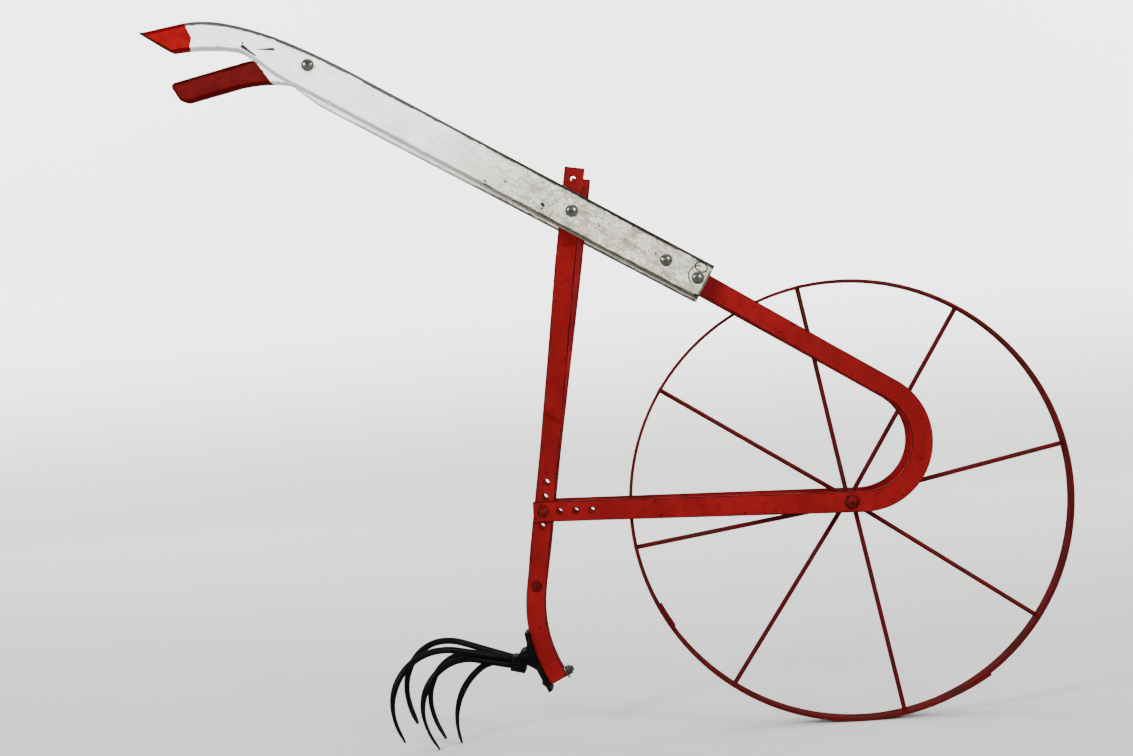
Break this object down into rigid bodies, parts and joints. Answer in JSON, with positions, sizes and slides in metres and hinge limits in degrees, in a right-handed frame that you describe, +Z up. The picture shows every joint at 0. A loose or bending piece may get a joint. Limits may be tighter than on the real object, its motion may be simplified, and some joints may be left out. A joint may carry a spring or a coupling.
{
  "type": "garden cultivator",
  "caption": "High-wheel push cultivator: a large spoked steel wheel between flat-bar frame sides, curved wooden handles with one broken grip, and a rear clamp of hooked tines.",
  "frame": {"origin": "middle of the machine's length and width, on the ground that it stands on", "axes": "+X forward, from the handles to the wheel; +Y to the machine's left; +Z up"},
  "size_m": [1.2573, 0.3952, 1.0052],
  "materials": {
    "red_paint": "worn gloss paint",
    "wheel_paint": "dull worn paint over rust",
    "white_wood": "chipped paint on wood",
    "zinc": "zinc plated",
    "black_iron": "worn black paint"
  },
  "bodies": {
    "frame": {"axle_bolt": "red_paint", "axle_nut": "red_paint", "axle_washer_left": "red_paint", "axle_washer_right": "red_paint", "clamp_bolt": "black_iron", "clamp_nut": "black_iron", "foot_bolt": "red_paint", "foot_nut": "red_paint", "foot_spacer": "red_paint", "frame_bar_left": "red_paint", "frame_bar_right": "red_paint", "handle_bolt_front_left": "zinc", "handle_bolt_front_right": "zinc", "handle_bolt_middle_left": "zinc", "handle_bolt_middle_right": "zinc", "handle_bolt_rear_left": "zinc", "handle_bolt_rear_right": "zinc", "handle_left": "white_wood", "handle_nut_front_left": "zinc", "handle_nut_front_right": "zinc", "handle_nut_middle_left": "zinc", "handle_nut_middle_right": "zinc", "handle_nut_rear_left": "zinc", "handle_nut_rear_right": "zinc", "handle_right": "white_wood", "handle_rung": "white_wood", "junction_bolt": "red_paint", "junction_nut": "red_paint", "junction_spacer": "red_paint", "rung_bolt_left": "zinc", "rung_bolt_right": "zinc", "standard_left": "red_paint", "standard_right": "red_paint", "tine_1": "black_iron", "tine_2": "black_iron", "tine_3": "black_iron", "tine_4": "black_iron", "tine_5": "black_iron", "tine_clamp": "black_iron", "tool_bolt": "black_iron", "tool_bracket": "black_iron", "tool_nut": "zinc", "tool_washer": "zinc"},
    "wheel": {"wheel_rim": "wheel_paint", "wheel_hub": "wheel_paint", "spoke_1": "wheel_paint", "spoke_2": "wheel_paint", "spoke_3": "wheel_paint", "spoke_4": "wheel_paint", "spoke_5": "wheel_paint", "spoke_6": "wheel_paint", "spoke_7": "wheel_paint", "spoke_8": "wheel_paint"}
  },
  "joints": [
    {"name": "wheel_spin", "type": "hinge", "parent": "frame", "child": "wheel", "pos_m": [0.3253, 0, 0.305], "axis": [0, 1, 0], "continuous": true}
  ]
}
